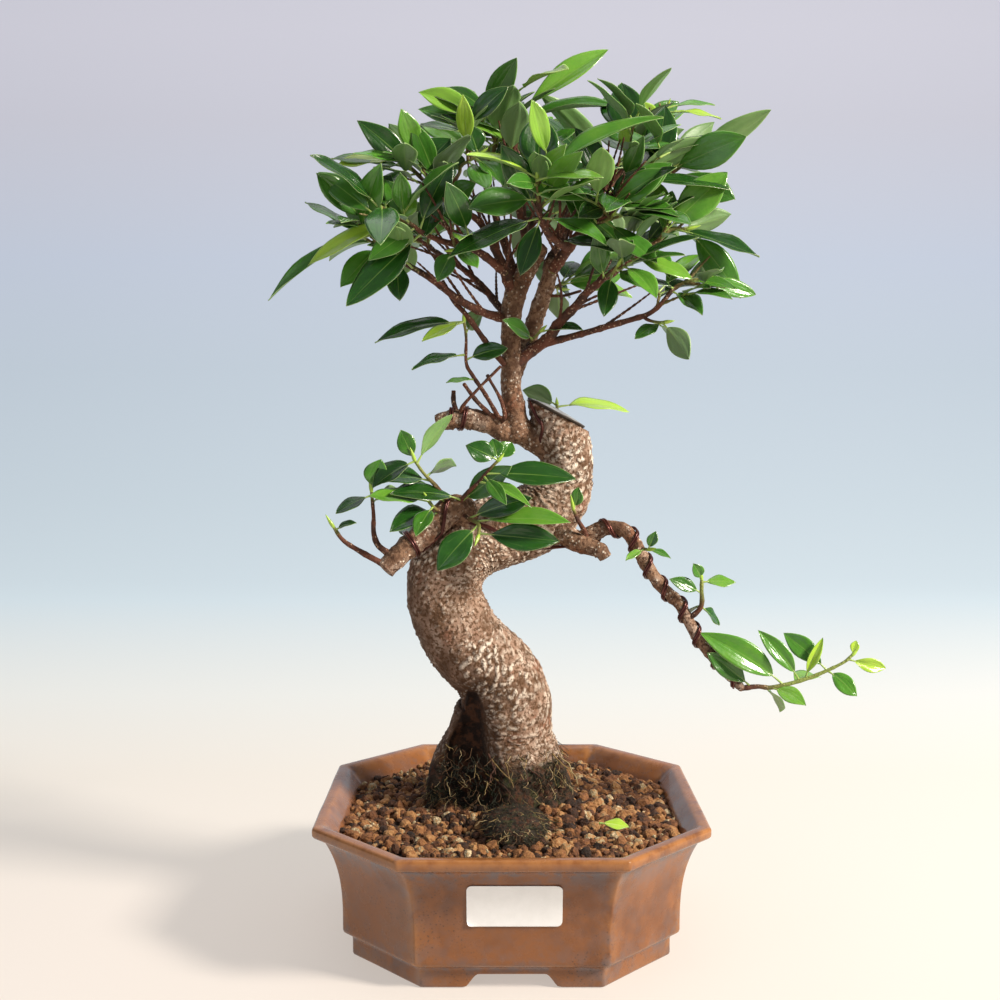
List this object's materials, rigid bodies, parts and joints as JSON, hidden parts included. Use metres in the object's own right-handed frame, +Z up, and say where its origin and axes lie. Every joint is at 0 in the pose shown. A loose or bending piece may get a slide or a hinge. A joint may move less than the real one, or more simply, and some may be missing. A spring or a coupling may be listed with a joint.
{
  "type": "bonsai tree in a pot",
  "caption": "Small ficus bonsai with an S-shaped trunk, a leafy crown and a wired cascading branch, in a square brown glazed pot with cut corners and four feet.",
  "frame": {"origin": "bottom centre of the whole object's box, on the plane the pot's feet stand on", "axes": "+Z up the tree; the label side of the pot faces -Y, and the long cascading branch reaches to +X"},
  "size_m": [0.285, 0.18, 0.4192],
  "materials": {
    "glazed_pot": "semi-gloss brown glaze",
    "plastic_mesh": "matte",
    "label_paper": "matte",
    "trunk_bark": "rough bark",
    "branch_bark": "rough bark",
    "sealing_paste": "matte",
    "mossy_root": "rough",
    "leafy_twig": "glossy leaf",
    "fallen_leaf": "matte",
    "akadama_soil": "rough",
    "training_wire": "anodised satin"
  },
  "bodies": {
    "root": {"pot": "glazed_pot", "drain_mesh_left": "plastic_mesh", "drain_mesh_right": "plastic_mesh", "paper_label": "label_paper", "trunk": "trunk_bark", "sealing_paste": "sealing_paste", "mossy_root": "mossy_root", "crown_leader": "branch_bark", "crown_second_stem": "branch_bark", "limb_right": "leafy_twig", "limb_right_up": "leafy_twig", "limb_back_right": "leafy_twig", "limb_back": "leafy_twig", "limb_top": "leafy_twig", "limb_up": "leafy_twig", "limb_left_up": "leafy_twig", "limb_left": "leafy_twig", "limb_long_left": "leafy_twig", "limb_left_mid": "leafy_twig", "twig_bare_left": "branch_bark", "limb_front": "leafy_twig", "limb_low_right": "leafy_twig", "branch_upper_left": "branch_bark", "branch_lower_left": "branch_bark", "branch_cascade": "branch_bark", "branch_stub_right": "branch_bark", "twig_stub_upright": "branch_bark", "twig_upper_left_a": "branch_bark", "twig_upper_left_b": "branch_bark", "twig_upper_left_crossing": "branch_bark", "right_outer_spray": "leafy_twig", "limb_spur_right": "leafy_twig", "right_inner_spray": "leafy_twig", "low_right_twig": "leafy_twig", "left_inner_spray": "leafy_twig", "left_hanging_leaf_spur": "leafy_twig", "back_low_spray": "leafy_twig", "back_right_spray": "leafy_twig", "second_stem_leaves": "leafy_twig", "stem_leaf_pair": "leafy_twig", "bare_twig": "branch_bark", "pale_back_leaf": "leafy_twig", "stub_left_twig_leaves": "leafy_twig", "low_left_shoot_up": "leafy_twig", "low_left_shoot_right": "leafy_twig", "trunk_front_shoot": "leafy_twig", "low_left_shoot_out": "leafy_twig", "low_left_back_shoot": "leafy_twig", "low_left_twig_leaves": "leafy_twig", "low_left_end_twig": "leafy_twig", "right_twig_leaf": "leafy_twig", "cascade_end_shoot": "leafy_twig", "cascade_twig_leaves": "leafy_twig", "cascade_small_twig": "leafy_twig", "wire_stub": "training_wire", "wire_trunk": "training_wire", "wire_left": "training_wire", "wire_cascade": "training_wire", "fallen_leaf": "fallen_leaf", "soil": "akadama_soil"}
  },
  "joints": []
}
